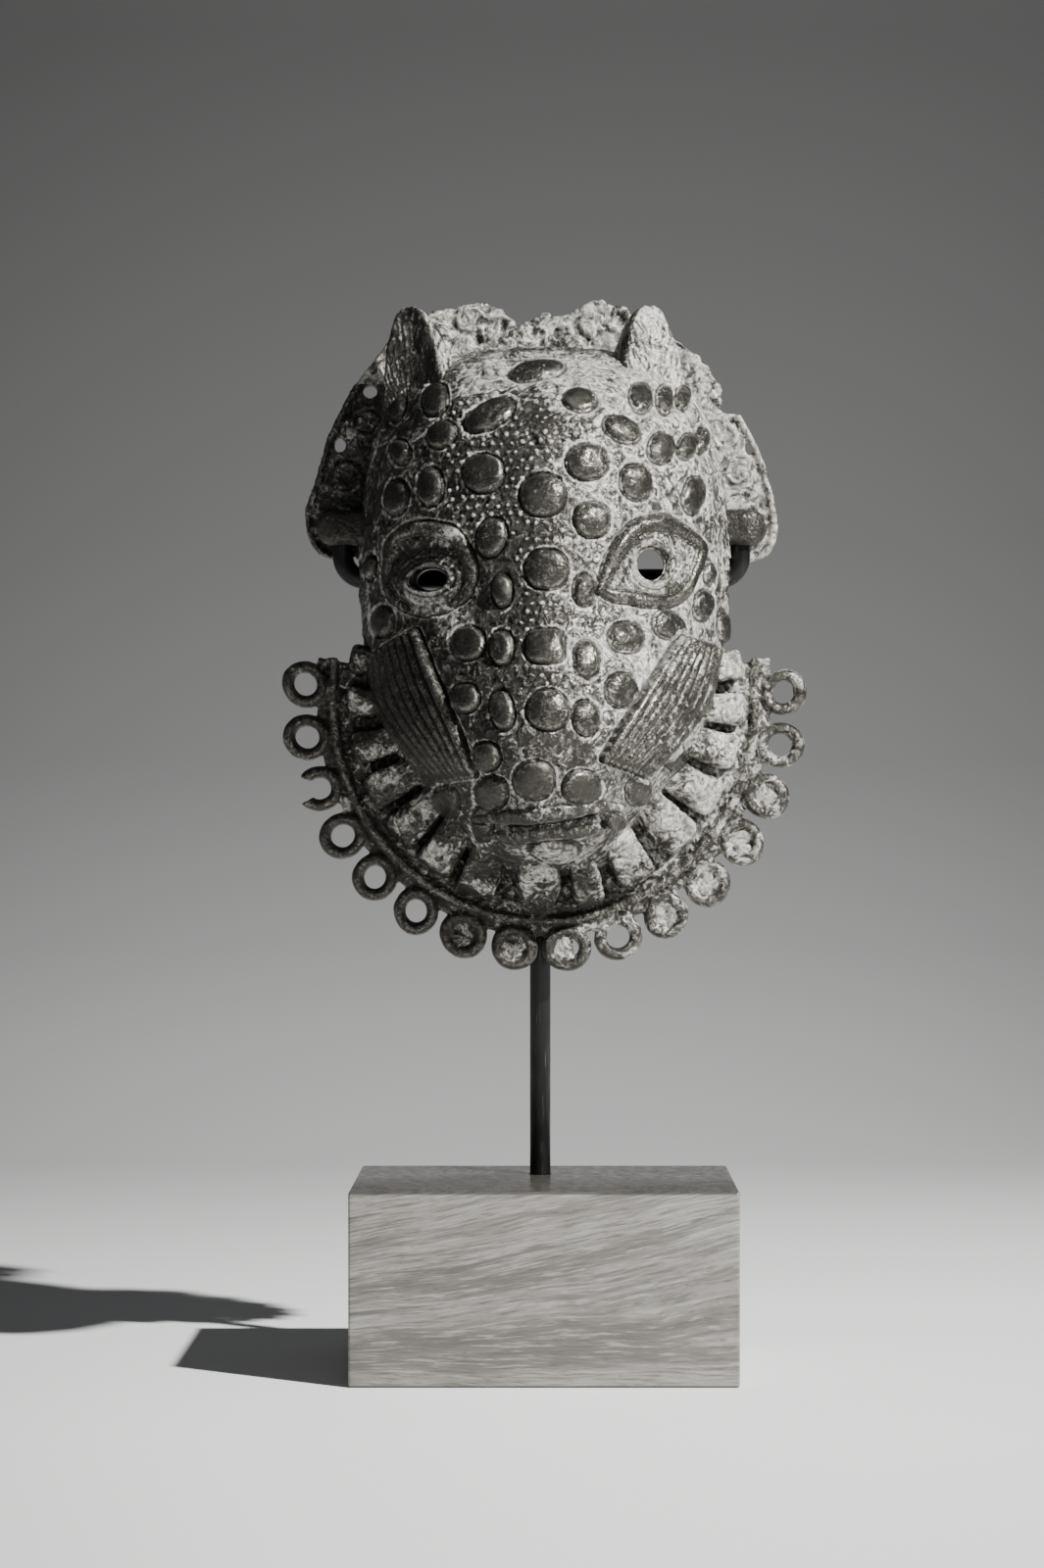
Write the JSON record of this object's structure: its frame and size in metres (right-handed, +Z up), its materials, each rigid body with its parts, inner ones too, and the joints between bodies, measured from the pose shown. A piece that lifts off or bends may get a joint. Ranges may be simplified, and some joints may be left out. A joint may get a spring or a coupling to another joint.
{
  "type": "hip mask",
  "caption": "Leopard-head hip mask cast as one hollow shell, with a collar edged by small loops, held by a black rod mount in a wooden block.",
  "frame": {"origin": "centre of the wooden block's underside", "axes": "+Z up along the rod, the mask's face looks towards -Y, +X to the viewer's right"},
  "size_m": [0.1393, 0.0944, 0.286],
  "materials": {
    "aged_brass": "worn dark patina with pale deposits in the recesses",
    "blackened_steel": "satin black",
    "block_wood": "oiled straight grain"
  },
  "bodies": {
    "root": {"mask": "aged_brass", "mount_rod": "blackened_steel", "wood_block": "block_wood"}
  },
  "joints": []
}
